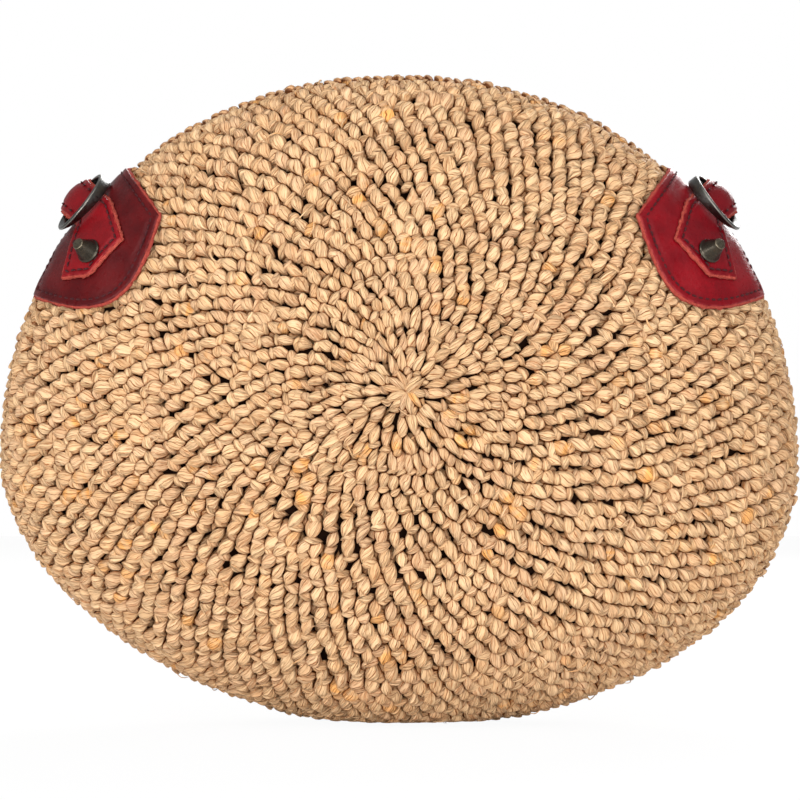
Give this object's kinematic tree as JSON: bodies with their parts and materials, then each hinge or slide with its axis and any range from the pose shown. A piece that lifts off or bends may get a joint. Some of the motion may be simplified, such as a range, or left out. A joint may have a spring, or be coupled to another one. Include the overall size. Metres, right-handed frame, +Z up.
{
  "type": "crocheted raffia handbag",
  "caption": "Round crocheted raffia handbag standing on its base, open along the top between leather corner tabs with swinging rings and cone studs.",
  "frame": {"origin": "on the floor under the middle of the bag's bounding box", "axes": "+Z up towards the mouth, the front faces -Y, +X to the right as seen from the front"},
  "size_m": [0.3964, 0.16, 0.3207],
  "materials": {
    "raffia_front": "plump crocheted natural raffia, matt with fine fibre streaks",
    "raffia_back": "plump crocheted natural raffia, matt with fine fibre streaks",
    "raffia_row": "crocheted natural raffia, matt",
    "lining_cotton": "dark plain cotton",
    "patch_leather_left": "smooth semi-gloss dark red leather, raw orange edges, dark stitching",
    "patch_leather_right": "smooth semi-gloss red leather, raw orange edges, dark stitching",
    "strap_leather_left": "smooth semi-gloss red leather, raw orange edges, dark stitching",
    "strap_leather_right": "smooth semi-gloss red leather, raw orange edges, dark stitching",
    "ring_metal": "dark antique plating, satin",
    "stud_metal": "dark antique plating worn bright at the rims",
    "screw_metal": "plain steel",
    "washer_leather": "undyed firm leather"
  },
  "bodies": {
    "bag": {"back_panel": "raffia_back", "backing_washer_left_back": "washer_leather", "backing_washer_left_front": "washer_leather", "backing_washer_right_back": "washer_leather", "backing_washer_right_front": "washer_leather", "cone_stud_left_back": "stud_metal", "cone_stud_left_front": "stud_metal", "cone_stud_right_back": "stud_metal", "cone_stud_right_front": "stud_metal", "front_panel": "raffia_front", "joining_row": "raffia_row", "lining": "lining_cotton", "loop_strap_left": "strap_leather_left", "loop_strap_right": "strap_leather_right", "stud_screw_left_back": "screw_metal", "stud_screw_left_front": "screw_metal", "stud_screw_right_back": "screw_metal", "stud_screw_right_front": "screw_metal", "tab_patch_left": "patch_leather_left", "tab_patch_right": "patch_leather_right"},
    "ring_left": {"ring_left": "ring_metal"},
    "ring_right": {"ring_right": "ring_metal"}
  },
  "joints": [
    {"name": "ring_right_swing", "type": "hinge", "parent": "bag", "child": "ring_right", "pos_m": [0.15907, 0, 0.26083], "axis": [-0.6574, 0, 0.7536], "range_deg": [0, 206]},
    {"name": "ring_left_swing", "type": "hinge", "parent": "bag", "child": "ring_left", "pos_m": [-0.15907, 0, 0.26083], "axis": [-0.6574, 0, -0.7536], "range_deg": [0, 206]}
  ]
}
